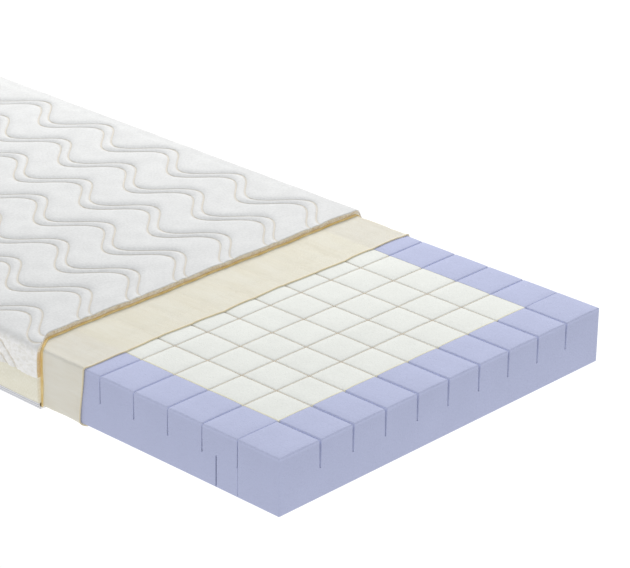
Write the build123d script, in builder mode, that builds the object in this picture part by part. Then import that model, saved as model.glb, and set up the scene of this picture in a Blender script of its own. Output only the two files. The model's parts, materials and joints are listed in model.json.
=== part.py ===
"""Pressure relief mattress for a profiling ward bed, with its covers cut back at the foot end.

The foam core is a white slab, sliced from above into cubes, inside a firmer lilac frame of two side
rails and two end bolsters. A thin inner cover is drawn over the core. The outer cover is a quilted
top (face, wadding and lining) that hangs down the sides, a cream border below it, and a white base.
Both covers stop short of the foot end, so that the cubes show. A zip at the head end opens the cover.

A profiling bed folds the mattress on three lines, so every layer is made in four lengths: leg, thigh,
seat and back. The knee opens a slice in the top; the other two folds open a flex cut underneath.

Millimetres. +Y runs towards the head, +X to the patient's left, +Z up. The origin is at the middle of
the underside.
"""

import os

from build123d import *

# Core: a sliced white slab in a lilac frame
core_length = 2000.0
core_width = 900.0
core_height = 118.0
core_edge_radius = 4.0
bolster_width = 104.0  # side rails and end bolsters alike
cube_columns = 8
cube_rows = 20
slit_width = 3.0
slit_depth = 56.0
flex_cut_height = 66.0
heel_cut_row = 0.6  # rows from the foot bolster to the heel's flex cut

# Folds of the bed under the mattress, in cube rows from the foot bolster
knee_row = 6
thigh_row = 10.5
back_row = 12.5
fold_gap = 0.6  # free space between two lengths that fold

# Covers
ease = 0.3  # between one layer and the next
inner_cover_thickness = 1.2
lining_thickness = 1.0
wadding_thickness = 9.0
face_thickness = 2.0
border_thickness = 9.0
base_thickness = 5.0
base_edge_radius = 8.0
base_strip_height = 14.0  # the base turns up the sides to here
hem_height = 68.0  # the quilted top hangs down to here
outer_cover_past_knee = 8.4  # its cut edge, on the thigh's side of the knee fold
inner_cover_show = 146.0  # the inner cover reaches this much further to the foot

# Zip in the head end of the border, under the hem
zip_end_margin = 41.8  # border left beside each end of the zip
zip_pocket_height = 22.0
zip_floor = 1.0  # border left behind the zip
zip_depth = 3.0  # from that floor to the middle of the tapes
tape_thickness = 0.8
teeth_height = 2.2  # one row, measured up the tape
teeth_thickness = 2.4
teeth_gap = 1.6  # between the two rows
stop_length = 3.0
stop_thickness = 4.0
stop_clearance = 0.3  # between a stop and the slider at rest
slider_length = 12.0
slider_height = 9.0
slider_plate = 1.1
slider_clearance = 0.4  # between a plate and the teeth
slider_post = 1.0
slider_post_length = 3.0
lug_thickness = 1.2
lug_length = 3.4
lug_height = 3.6
pin_radius = 0.8
pin_clearance = 0.05
eye_wall = 0.45  # of the pull, round the pin
pull_length = 30.0
pull_thickness = 1.8
pull_side_clearance = 0.3
pull_end_radius = 2.0

# Places worked out from the sizes above
pitch_x = (core_width - 2 * bolster_width) / cube_columns
pitch_y = (core_length - 2 * bolster_width) / cube_rows
inner_offset = ease + inner_cover_thickness  # outer face of the inner cover, from the core
lining_inside = inner_offset + ease
lining_outside = lining_inside + lining_thickness
wadding_outside = lining_outside + wadding_thickness
cover_offset = wadding_outside + face_thickness
border_outside = lining_outside + border_thickness
core_bottom = base_thickness + ease + inner_cover_thickness + ease
core_top = core_bottom + core_height
foot_y = -(core_length + cover_offset) / 2
head_y = foot_y + core_length  # head end of the core
slab_foot_y = foot_y + bolster_width
slab_head_y = head_y - bolster_width
slab_width = core_width - 2 * bolster_width
top_z = core_top + cover_offset


def row_y(row):
    """The Y of the slice that many cube rows from the foot bolster."""
    return slab_foot_y + row * pitch_y


knee_y = row_y(knee_row)
thigh_y = row_y(thigh_row)
back_y = row_y(back_row)
heel_cut_y = row_y(heel_cut_row)
outer_cover_y = knee_y + outer_cover_past_knee
inner_cover_y = outer_cover_y - inner_cover_show
mattress_head_y = head_y + cover_offset
lengths = {
    "leg": (foot_y, knee_y - fold_gap / 2),
    "thigh": (knee_y + fold_gap / 2, thigh_y - fold_gap / 2),
    "seat": (thigh_y + fold_gap / 2, back_y - fold_gap / 2),
    "back": (back_y + fold_gap / 2, mattress_head_y),
}
covered_lengths = ("thigh", "seat", "back")
column_xs = [-slab_width / 2 + column * pitch_x for column in range(cube_columns + 1)]
row_ys = [row_y(row) for row in range(cube_rows + 1)]

os.makedirs("parts", exist_ok=True)


def write(piece, name):
    """Labels a finished piece and writes its STEP file."""
    piece.part.label = name
    export_step(piece.part, f"parts/{name}.step")


def block(low, high, mode=Mode.ADD):
    """Adds a box between two corners to the part being built, or cuts it from the part."""
    centre = tuple((a + b) / 2 for a, b in zip(low, high))
    with Locations(centre):
        Box(*[b - a for a, b in zip(low, high)], mode=mode)


def slice_across(y, low_x, high_x):
    """Cuts the part with a slice across the mattress, from the top."""
    block(
        (low_x, y - slit_width / 2, core_top - slit_depth),
        (high_x, y + slit_width / 2, core_top + 1),
        mode=Mode.SUBTRACT,
    )


def slice_along(x, low_y, high_y):
    """Cuts the part with a slice along the mattress, from the top."""
    block(
        (x - slit_width / 2, low_y, core_top - slit_depth),
        (x + slit_width / 2, high_y, core_top + 1),
        mode=Mode.SUBTRACT,
    )


def flex_cuts():
    """Cuts the part with the flex cuts across its underside."""
    for y in (heel_cut_y, thigh_y, back_y):
        block(
            (-core_width, y - slit_width / 2, core_bottom - 1),
            (core_width, y + slit_width / 2, core_bottom + flex_cut_height),
            mode=Mode.SUBTRACT,
        )


def core_span(name):
    """The Y span of one length of the slab and the rails."""
    start, end = lengths[name]
    return max(start, slab_foot_y), min(end, slab_head_y)


# White slab: cubes standing on one sheet of foam
for name in lengths:
    start, end = core_span(name)
    with BuildPart() as slab:
        block((-slab_width / 2, start, core_bottom), (slab_width / 2, end, core_top))
        for x in column_xs[1:-1]:
            slice_along(x, start - 1, end + 1)
        for y in row_ys[1:-1]:
            if start - slit_width < y < end + slit_width:
                slice_across(y, -slab_width, slab_width)
        flex_cuts()
    write(slab, f"cube_slab_{name}")

# Lilac side rails, sliced in line with the cubes, down each long side of the slab
for side_name, side in (("right", -1), ("left", 1)):
    for name in lengths:
        start, end = core_span(name)
        with BuildPart() as rail:
            with BuildSketch(Plane.XZ.offset(-start)) as rail_profile:
                with Locations(
                    (side * (core_width - bolster_width) / 2, core_bottom + core_height / 2)
                ):
                    Rectangle(bolster_width, core_height)
                outer = rail_profile.vertices().group_by(Axis.X)[-1 if side > 0 else 0]
                fillet(outer, core_edge_radius)
            extrude(amount=-(end - start))
            for y in row_ys:
                if start - slit_width < y < end + slit_width:
                    slice_across(y, -core_width, core_width)
            flex_cuts()
        write(rail, f"{side_name}_rail_{name}")

# Lilac end bolsters, across the full width, sliced in line with the cubes
for end_name, start, outward in (
    ("foot", foot_y, -1),
    ("head", head_y - bolster_width, 1),
):
    with BuildPart() as bolster:
        block(
            (-core_width / 2, start, core_bottom),
            (core_width / 2, start + bolster_width, core_top),
        )
        end_face = bolster.faces().sort_by(Axis.Y)[0 if outward < 0 else -1]
        side_edges = [
            edge
            for face in (bolster.faces().sort_by(Axis.X)[0], bolster.faces().sort_by(Axis.X)[-1])
            for edge in face.edges().filter_by(Axis.Y)
        ]
        fillet(end_face.edges() + side_edges, core_edge_radius)
        for x in column_xs:
            slice_along(x, start - 1, start + bolster_width + 1)
    write(bolster, f"{end_name}_bolster")


def cover_blank(offset, start, low_z, low_edges=False):
    """Solid of the space inside one layer of a cover, that far outside the core, open at the foot."""
    half_width = core_width / 2 + offset
    with BuildPart() as blank:
        block((-half_width, start, low_z), (half_width, head_y + offset, core_top + offset))
        head_face = blank.faces().sort_by(Axis.Y)[-1]
        top_face = blank.faces().sort_by(Axis.Z)[-1]
        rounded = head_face.edges().filter_by(Axis.Z) + top_face.edges().filter_by(Axis.Y)
        rounded += [head_face.edges().sort_by(Axis.Z)[-1]]
        if low_edges:
            bottom_face = blank.faces().sort_by(Axis.Z)[0]
            rounded += bottom_face.edges().filter_by(Axis.Y)
            rounded += [head_face.edges().sort_by(Axis.Z)[0]]
        fillet(rounded, core_edge_radius + offset)
    return blank.part


def length_of(layer, name, start):
    """The part of a layer that belongs to one length of the mattress."""
    low_y, high_y = lengths[name]
    low_y = max(low_y, start)
    with BuildPart() as piece:
        add(layer)
        split(bisect_by=Plane.XZ.offset(-low_y), keep=Keep.BOTTOM)
        if name != "back":
            split(bisect_by=Plane.XZ.offset(-high_y), keep=Keep.TOP)
    return piece


# Inner cover: a thin sleeve all round the core, closed over its head end
with BuildPart() as inner_cover:
    add(
        cover_blank(
            inner_offset, inner_cover_y, core_bottom - inner_offset, low_edges=True
        )
    )
    add(
        cover_blank(ease, inner_cover_y - 1, core_bottom - ease, low_edges=True),
        mode=Mode.SUBTRACT,
    )
for name in lengths:
    write(length_of(inner_cover.part, name, inner_cover_y), f"inner_cover_{name}")


def cover_layer(inside, outside, low_z, high_z=None):
    """One layer of the outer cover between two offsets from the core, down to low_z."""
    with BuildPart() as layer:
        add(cover_blank(outside, outer_cover_y, low_z))
        add(cover_blank(inside, outer_cover_y - 1, low_z - 1), mode=Mode.SUBTRACT)
        if high_z is not None:
            split(bisect_by=Plane.XY.offset(high_z), keep=Keep.BOTTOM)
    return layer.part


# Quilted top: face over wadding, hanging down to the hem, and the lining that runs down to the base
lining = cover_layer(lining_inside, lining_outside, base_thickness)
wadding = cover_layer(lining_outside, wadding_outside, hem_height)
face = cover_layer(wadding_outside, cover_offset, hem_height)
for name in covered_lengths:
    write(length_of(lining, name, outer_cover_y), f"quilt_lining_{name}")
    write(length_of(wadding, name, outer_cover_y), f"quilt_wadding_{name}")
    write(length_of(face, name, outer_cover_y), f"quilt_face_{name}")

# Border: a cream band between the quilted top and the base, with the zip's pocket in its head end
base_half_width = core_width / 2 + border_outside
zip_length = 2 * (base_half_width - zip_end_margin)
pocket_floor_y = head_y + lining_outside + zip_floor
pocket_low_z = hem_height - zip_pocket_height
with BuildPart() as border:
    add(cover_layer(lining_outside, border_outside, base_strip_height, hem_height))
    block(
        (-zip_length / 2, pocket_floor_y, pocket_low_z),
        (zip_length / 2, mattress_head_y + 1, hem_height + 1),
        mode=Mode.SUBTRACT,
    )
for name in covered_lengths:
    write(length_of(border.part, name, outer_cover_y), f"cover_border_{name}")

# Base: the white underside, turned up at its edges to meet the border
with BuildPart() as base:
    block(
        (-base_half_width, outer_cover_y, 0),
        (base_half_width, head_y + border_outside, base_strip_height),
    )
    head_face = base.faces().sort_by(Axis.Y)[-1]
    fillet(head_face.edges().filter_by(Axis.Z), core_edge_radius + border_outside)
    bottom = base.faces().sort_by(Axis.Z)[0]
    open_edge = bottom.edges().sort_by(Axis.Y)[0]
    fillet([edge for edge in bottom.edges() if edge != open_edge], base_edge_radius)
    add(
        cover_blank(lining_outside, outer_cover_y - 1, base_thickness),
        mode=Mode.SUBTRACT,
    )
for name in covered_lengths:
    write(length_of(base.part, name, outer_cover_y), f"cover_base_{name}")

# Zip: two tapes with a row of teeth each, and a stop at each end of each row. At the open end the
# tapes run on past the stops by the pull's length, so that the pull has room there.
zip_y = pocket_floor_y + zip_depth
zip_z = hem_height - zip_pocket_height / 2
teeth_edge = teeth_gap / 2 + teeth_height
run_start = -zip_length / 2 + pull_length + stop_length
run_end = zip_length / 2 - stop_length
for level, direction in (("upper", 1), ("lower", -1)):
    tape_low, tape_high = sorted(
        (zip_z + direction * teeth_edge, zip_z + direction * zip_pocket_height / 2)
    )
    with BuildPart() as tape:
        block(
            (-zip_length / 2, zip_y - tape_thickness / 2, tape_low),
            (zip_length / 2, zip_y + tape_thickness / 2, tape_high),
        )
    write(tape, f"zip_tape_{level}")
    teeth_low, teeth_high = sorted(
        (zip_z + direction * teeth_gap / 2, zip_z + direction * teeth_edge)
    )
    with BuildPart() as teeth:
        block(
            (run_start, zip_y - teeth_thickness / 2, teeth_low),
            (run_end, zip_y + teeth_thickness / 2, teeth_high),
        )
    write(teeth, f"zip_teeth_{level}")

with BuildPart() as stops:
    stop_xs = [run_start - stop_length / 2, run_end + stop_length / 2]
    stop_zs = [zip_z + side * (teeth_gap + teeth_height) / 2 for side in (-1, 1)]
    with Locations(*[(x, zip_y, z) for x in stop_xs for z in stop_zs]):
        Box(stop_length, stop_thickness, teeth_height)
write(stops, "zip_stops")

# Slider: two plates over and under the teeth, joined by a post that runs between the rows, with a
# pin between two lugs for the pull. It rests at the closed end of the zip.
slider_x = run_end - stop_clearance - slider_length / 2
slider_travel = run_end - run_start - slider_length - 2 * stop_clearance
plate_inside = teeth_thickness / 2 + slider_clearance
plate_outside = plate_inside + slider_plate
pin_y = zip_y + plate_outside + lug_height - lug_length / 2
lug_inside = slider_height / 2 - lug_thickness
with BuildPart() as slider:
    for side in (-1, 1):
        with Locations((slider_x, zip_y + side * (plate_inside + slider_plate / 2), zip_z)):
            Box(slider_length, slider_plate, slider_height)
    fillet(slider.edges().filter_by(Axis.Y), slider_height / 4)
    with Locations((slider_x + slider_length / 2 - slider_post_length, zip_y, zip_z)):
        Box(slider_post_length, 2 * plate_inside, slider_post)
    for side in (-1, 1):
        lug_z = zip_z + side * (lug_inside + lug_thickness / 2)
        with BuildSketch(Plane.XY.offset(lug_z - lug_thickness / 2)):
            with Locations((slider_x, pin_y)):
                Circle(lug_length / 2)
            with Locations((slider_x, (zip_y + plate_outside + pin_y) / 2)):
                Rectangle(lug_length, pin_y - zip_y - plate_outside)
        extrude(amount=lug_thickness)
    with BuildSketch(Plane.XY.offset(zip_z - lug_inside)):
        with Locations((slider_x, pin_y)):
            Circle(pin_radius)
    extrude(amount=2 * lug_inside)
write(slider, "zip_slider")

# Pull: a flat tab whose eye turns on the slider's pin
pull_height = 2 * (lug_inside - pull_side_clearance)
with BuildPart() as pull:
    with BuildSketch(Plane.XY.offset(zip_z - pull_height / 2)):
        with Locations((slider_x, pin_y)):
            Circle(pin_radius + pin_clearance + eye_wall)
        with Locations((slider_x - pull_length / 2, pin_y)):
            Rectangle(pull_length, pull_thickness)
        with Locations((slider_x, pin_y)):
            Circle(pin_radius + pin_clearance, mode=Mode.SUBTRACT)
    extrude(amount=pull_height)
    tip = pull.faces().sort_by(Axis.X)[0]
    fillet(tip.edges().filter_by(Axis.Y), pull_end_radius)
write(pull, "zip_pull")

print("row pitch", pitch_y, "column pitch", pitch_x)
print("folds at Y", knee_y, thigh_y, back_y, "top", top_z)
print("slider", slider_x, pin_y, zip_z, "travel", slider_travel)
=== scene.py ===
import json
import math

import bmesh
import bpy
import numpy as np
from mathutils import Matrix, Vector


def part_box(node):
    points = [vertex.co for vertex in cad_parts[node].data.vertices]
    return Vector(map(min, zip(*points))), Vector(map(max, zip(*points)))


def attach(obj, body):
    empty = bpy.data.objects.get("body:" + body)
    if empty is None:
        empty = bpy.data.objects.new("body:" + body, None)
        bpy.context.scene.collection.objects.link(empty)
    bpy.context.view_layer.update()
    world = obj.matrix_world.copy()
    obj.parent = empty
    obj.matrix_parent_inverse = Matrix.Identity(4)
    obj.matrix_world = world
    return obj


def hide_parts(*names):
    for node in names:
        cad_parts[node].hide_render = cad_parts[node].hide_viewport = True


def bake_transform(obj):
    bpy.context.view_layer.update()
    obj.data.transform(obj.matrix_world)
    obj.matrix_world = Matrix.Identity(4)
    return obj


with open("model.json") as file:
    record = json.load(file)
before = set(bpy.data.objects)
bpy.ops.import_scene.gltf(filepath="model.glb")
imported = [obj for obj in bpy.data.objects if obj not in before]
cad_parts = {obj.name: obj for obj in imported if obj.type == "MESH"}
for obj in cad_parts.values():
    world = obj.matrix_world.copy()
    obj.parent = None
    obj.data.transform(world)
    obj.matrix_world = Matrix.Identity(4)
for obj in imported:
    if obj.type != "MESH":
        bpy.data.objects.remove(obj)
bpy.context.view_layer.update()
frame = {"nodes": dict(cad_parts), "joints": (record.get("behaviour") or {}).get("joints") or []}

# --------------------------------------------------
# Studio: a soft white surround, one soft lamp beyond the far side that rakes over the quilting, and
# a long lens at the height of someone standing. The glowing floor lies half a metre below the
# mattress, which leaves room for the foot end when the knee bends.


def srgb(red, green, blue):
    """A colour as Blender wants it, from the 0 to 255 values of a paint chart."""
    chart = np.array([red, green, blue]) / 255
    linear = np.where(chart <= 0.04045, chart / 12.92, ((chart + 0.055) / 1.055) ** 2.4)
    return (*linear.tolist(), 1.0)


def operator(operation, reflected=False):
    """A method that adds a Math node of that operation on a socket and what follows it."""

    def method(self, *others):
        return self.math(operation, *((*others, self) if reflected else (self, *others)))

    return method


class Socket:
    """A socket of a material's nodes. Arithmetic on it adds the Math nodes that work it out."""

    def __init__(self, tree, socket=None):
        self.tree = tree
        self.socket = socket

    def node(self, kind, settings=None, inputs=None, output=0):
        """Adds a node, sets it up, feeds its inputs, and gives one of its outputs."""
        new = self.tree.nodes.new(kind)
        for name, value in (settings or {}).items():
            setattr(new, name, value)
        for name, value in (inputs or {}).items():
            if isinstance(value, Socket):
                self.tree.links.new(value.socket, new.inputs[name])
            else:
                new.inputs[name].default_value = value
        return Socket(self.tree, new.outputs[output])

    def math(self, operation, *values):
        return self.node("ShaderNodeMath", {"operation": operation}, dict(enumerate(values)))

    __add__ = __radd__ = operator("ADD")
    __sub__ = operator("SUBTRACT")
    __rsub__ = operator("SUBTRACT", reflected=True)
    __mul__ = __rmul__ = operator("MULTIPLY")
    __truediv__ = operator("DIVIDE")
    __pow__ = operator("POWER")
    __mod__ = operator("FLOORED_MODULO")
    __abs__ = operator("ABSOLUTE")
    sine = operator("SINE")

    def waves(self, pitch):
        """A sine along this length, with one wave to each pitch in metres."""
        return (self * (2 * math.pi / pitch)).sine()

    def ramp(self, low, high):
        """0 below low, 1 above high, and a smooth rise between; high may be below low."""
        return self.node(
            "ShaderNodeMapRange",
            {"interpolation_type": "SMOOTHSTEP"},
            {"Value": self, "From Min": low, "From Max": high},
        )

    def mix(self, low, high):
        """The colour low where this is 0 and the colour high where it is 1."""
        return self.node("ShaderNodeMix", {"data_type": "RGBA"}, {0: self, 6: low, 7: high}, 2)

    def numbers(self, count):
        """A vector's first few numbers."""
        kind = "ShaderNodeSeparateXYZ"
        return [self.node(kind, inputs={0: self}, output=index) for index in range(count)]

    def place(self):
        """The Object coordinates, as a vector and as three numbers."""
        vector = self.node("ShaderNodeTexCoord", output="Object")
        return vector, *vector.numbers(3)

    def cloth(self):
        """The piece's own UV: metres across the cloth and metres along it."""
        vector = self.node("ShaderNodeUVMap", {"uv_map": "cloth"})
        return vector, *vector.numbers(2)

    def attribute(self, name):
        return self.node("ShaderNodeAttribute", {"attribute_name": name}, output=2)

    def noise(self, vector, scale, detail=2.0, stretch=None):
        """Cloudy noise with that many cells to the metre. stretch below 1 makes them longer."""
        if stretch:
            multiply = {"operation": "MULTIPLY"}
            vector = self.node("ShaderNodeVectorMath", multiply, {0: vector, 1: stretch})
        inputs = {"Vector": vector, "Scale": scale, "Detail": detail}
        return self.node("ShaderNodeTexNoise", inputs=inputs)


def material(name, paint):
    """A material whose shader takes what paint(start) gives: sockets or constants by name."""
    made = bpy.data.materials.new(name)
    made.use_nodes = True
    tree = made.node_tree
    tree.nodes.clear()
    shader = tree.nodes.new("ShaderNodeBsdfPrincipled")
    end = tree.nodes.new("ShaderNodeOutputMaterial")
    tree.links.new(shader.outputs["BSDF"], end.inputs["Surface"])
    start = Socket(tree)
    feeds = paint(start)
    if "relief" in feeds:
        height, distance = feeds.pop("relief")
        bump = {"Height": height, "Distance": distance, "Strength": 1.0}
        feeds["Normal"] = start.node("ShaderNodeBump", inputs=bump)
    for name, value in feeds.items():
        if isinstance(value, Socket):
            tree.links.new(value.socket, shader.inputs[name])
        else:
            shader.inputs[name].default_value = value
    return made


def painted(tint, roughness, gloss=0.5, sheen=0.0, **relief):
    """What a shader takes. relief=(height, depth) stands out by depth metres where height is 1."""
    feeds = {"Base Color": tint, "Roughness": roughness, "Specular IOR Level": gloss}
    return feeds | {"Sheen Weight": sheen} | relief


def floor_paint(start):
    glow = {"Emission Color": srgb(255, 255, 255), "Emission Strength": 0.83}
    return painted(srgb(140, 140, 140), 0.9, gloss=0.1) | glow


floor_reach = 14.0
floor_drop = 0.50  # the foot end comes down this far when the knee bends
bpy.ops.mesh.primitive_plane_add(size=2 * floor_reach, location=(0, 0, -floor_drop))
floor = bpy.context.object
floor.name = "studio_floor"
floor.data.materials.append(material("studio_floor", floor_paint))

surround = bpy.data.worlds.new("studio")
surround.use_nodes = True
glow = surround.node_tree.nodes["Background"].inputs
glow["Color"].default_value = srgb(252, 253, 255)
glow["Strength"].default_value = 0.68
bpy.context.scene.world = surround


def soft_lamp(name, place, aim, size, power, colour):
    """A square lamp of that size in metres, turned towards the point it lights."""
    lamp = bpy.data.lights.new(name, "AREA")
    lamp.size = size
    lamp.energy = power
    lamp.color = colour[:3]
    holder = bpy.data.objects.new(name, lamp)
    holder.location = place
    holder.rotation_euler = (Vector(aim) - Vector(place)).to_track_quat("-Z", "Y").to_euler()
    bpy.context.scene.collection.objects.link(holder)


soft_lamp("lamp_far", (2.9, 1.9, 3.0), (0, -0.2, 0.1), 1.3, 118, srgb(255, 253, 249))

camera_data = bpy.data.cameras.new("camera")
camera_data.sensor_width = 36.0
camera_data.lens = 157.6  # millimetres, as the sensor
camera_data.clip_end = 60.0
camera = bpy.data.objects.new("camera", camera_data)
standing_place = (-3.5152, -3.9552, 2.3664)
looking = Vector((0.66596, 0.62374, -0.40920)).normalized()
rightward = Vector((0.68825, -0.72533, 0.01448))
rightward = (rightward - looking * rightward.dot(looking)).normalized()
turned = Matrix((rightward, rightward.cross(looking), -looking)).transposed()
camera.matrix_world = Matrix.Translation(standing_place) @ turned.to_4x4()
bpy.context.scene.collection.objects.link(camera)
bpy.context.scene.camera = camera
bpy.context.scene.view_settings.view_transform = "Standard"

# --------------------------------------------------
# Cube slab: soft white foam, cast as one sheet and sliced from above into cubes with a band knife.
# The cubes stand on the uncut lower half. Flex cuts across the underside let it fold on the bed.

slab_low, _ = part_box("cube_slab_leg")
_, slab_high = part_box("cube_slab_back")
cube_columns = 8
cube_rows = 20
slice_depth = 0.056
slice_lip = 0.0032
# Widths of a slice at its mouth and at its foot: first of the slices across, then of those along
slab_knives = ((0.0020, 0.0014), (0.0022, 0.0012))
rail_knives = ((0.0020, 0.0036), (0.0014, 0.0012))
bolster_knives = ((0.0020, 0.0036), (0.0040, 0.0010))
flex_cut_height = 0.066
flex_cut_width = 0.003
joint_lip = 0.0018  # where one block of foam is glued to the next
crown = 0.0008
saw_drift = 0.0007  # how far the band knife strays from a straight line
column_pitch = (slab_high.x - slab_low.x) / cube_columns
row_pitch = (slab_high.y - slab_low.y) / cube_rows
column_places = slab_low.x + column_pitch * np.arange(cube_columns + 1)
row_places = slab_low.y + row_pitch * np.arange(cube_rows + 1)
fold_at = {joint["name"]: joint["pos_m"][1] for joint in frame["joints"] if "fold" in joint["name"]}
heel_cut = slab_low.y + 0.6 * row_pitch
flex_cuts = [heel_cut, fold_at["thigh_fold"], fold_at["back_fold"]]

# Where one piece of a layer ends and the next begins: halfway between the knee and thigh folds, and
# halfway between the thigh and back folds.
thigh_middle = (fold_at["knee_fold"] + fold_at["thigh_fold"]) / 2
seat_middle = (fold_at["thigh_fold"] + fold_at["back_fold"]) / 2


def make_piece(name, points, quads, polygons=(), cloth=None, weights=None, crease=40, flat=0):
    """A closed piece from its points and faces, turned so that they enclose a positive volume.
    cloth is each point's place on the flat cloth, and weights are named numbers of each point.
    The last of the quads, as many as flat says, and the polygons are shaded flat."""
    quads = np.asarray(quads)
    fans = [np.asarray(polygon) for polygon in polygons]
    triangles = [quads[:, [0, 1, 2]], quads[:, [0, 2, 3]]]
    triangles += [np.column_stack([0 * fan[2:] + fan[0], fan[1:-1], fan[2:]]) for fan in fans]
    a, b, c = points[np.concatenate(triangles)].transpose(1, 0, 2)
    if np.einsum("ij,ij->", a, np.cross(b, c)) < 0:
        quads = quads[:, ::-1]
        fans = [fan[::-1] for fan in fans]
    corners = np.concatenate([quads.ravel(), *fans]).astype(np.int32)
    sizes = np.array([4] * len(quads) + [len(fan) for fan in fans], dtype=np.int32)
    starts = np.cumsum(sizes, dtype=np.int32) - sizes
    mesh = bpy.data.meshes.new(name)
    mesh.vertices.add(len(points))
    mesh.vertices.foreach_set("co", points.astype(np.float32).ravel())
    mesh.loops.add(len(corners))
    mesh.loops.foreach_set("vertex_index", corners)
    mesh.polygons.add(len(sizes))
    mesh.polygons.foreach_set("loop_start", starts)
    mesh.polygons.foreach_set("loop_total", sizes)
    mesh.polygons.foreach_set("use_smooth", np.arange(len(sizes)) < len(quads) - flat)
    if cloth is not None:
        layer = mesh.uv_layers.new(name="cloth")
        layer.data.foreach_set("uv", cloth[corners].astype(np.float32).ravel())
    for key, values in (weights or {}).items():
        layer = mesh.attributes.new(key, "FLOAT", "POINT")
        layer.data.foreach_set("value", values.astype(np.float32))
    mesh.update(calc_edges=True)
    tidy = bmesh.new()
    tidy.from_mesh(mesh)
    bmesh.ops.remove_doubles(tidy, verts=tidy.verts, dist=2e-6)
    bmesh.ops.dissolve_degenerate(tidy, dist=1e-6, edges=tidy.edges)
    tidy.to_mesh(mesh)
    tidy.free()
    mesh.set_sharp_from_angle(angle=math.radians(crease))
    made = bpy.data.objects.new(name, mesh)
    bpy.context.scene.collection.objects.link(made)
    return made


def ring_faces(rings, points_round, torus=False):
    """The quads between closed rings of points, with the last ring joined to the first on a torus,
    and a polygon over each end otherwise."""
    index = np.arange(rings * points_round).reshape(rings, points_round)
    near = index if torus else index[:-1]
    far = np.roll(index, -1, axis=0) if torus else index[1:]
    quads = np.stack([near, np.roll(near, -1, 1), np.roll(far, -1, 1), far], axis=-1).reshape(-1, 4)
    return quads, [] if torus else [index[0][::-1], index[-1]]


def smooth(value, low, high):
    """0 below low, 1 above high, and a smooth rise between."""
    share = np.clip((value - low) / (high - low), 0, 1)
    return share * share * (3 - 2 * share)


def across_slices(places, low, high, widths, flat_points=3):
    """Places across sliced foam, with how far the top has dropped there and which side of a slice
    it is. Each slice is a quarter round lip, a wall from the mouth to the foot, its floor, and the
    same again upwards. The tops between slices are crowned: they fall with the fourth power. Where
    a slice is at the end of the foam, only the half of it that is in the foam is made."""
    angle = np.linspace(0, np.pi / 2, 4)
    mouth, foot = widths
    half = mouth / 2 + slice_lip
    wall = np.concatenate([half - slice_lip * np.sin(angle), [foot / 2]])
    drop = np.concatenate([slice_lip - slice_lip * np.cos(angle), [slice_depth]])
    offsets = np.concatenate([-wall, wall[::-1]])
    drops = np.concatenate([drop, drop[::-1]]) + crown
    place, fall, side = [], [], []
    places = np.asarray(places, dtype=float)
    ends = places[(places < low + 1e-5) | (places > high - 1e-5)]
    edges = np.unique(np.round([low, *places, high], 5))
    for start, end in zip(edges[:-1], edges[1:]):
        share = np.linspace(-1, 1, flat_points + 2)[1:-1]
        middle, reach = (start + end) / 2, (end - start) / 2 - half
        place.append(middle + share * reach)
        fall.append(crown * share**4)
        side.append(0 * share)
    for at in places:
        inside = (at + offsets >= low) & (at + offsets <= high)
        place.append((at + offsets)[inside])
        fall.append(drops[inside])
        side.append(np.sign(offsets)[inside])
    for at in ends:
        place.append(np.array([at]))
        fall.append(np.array([slice_depth + crown]))
        side.append(np.array([0.0]))
    place, fall, side = (np.concatenate(found) for found in (place, fall, side))
    middle = np.sort(places) if len(places) else np.array([1e3])  # no slice is near
    own = middle[np.argmin(np.abs(place[:, None] - middle[None, :]), axis=1)]
    key = np.where(side == 0, place, own + side * (0.001 + (slice_depth - fall) * 0.05))
    order = np.argsort(key, kind="stable")
    return place[order], fall[order], side[order]


def rounded_end(radius, points=5):
    """Places from an end inwards and how far the section is drawn in there: a quarter circle."""
    angle = np.linspace(0, np.pi / 2, points)
    return radius * (1 - np.cos(angle)), radius * (1 - np.sin(angle))


def with_more(rings, *more):
    """The lists of numbers that describe the rings, each with more at its end."""
    return [np.append(*both) for both in zip(rings, more)]


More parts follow.
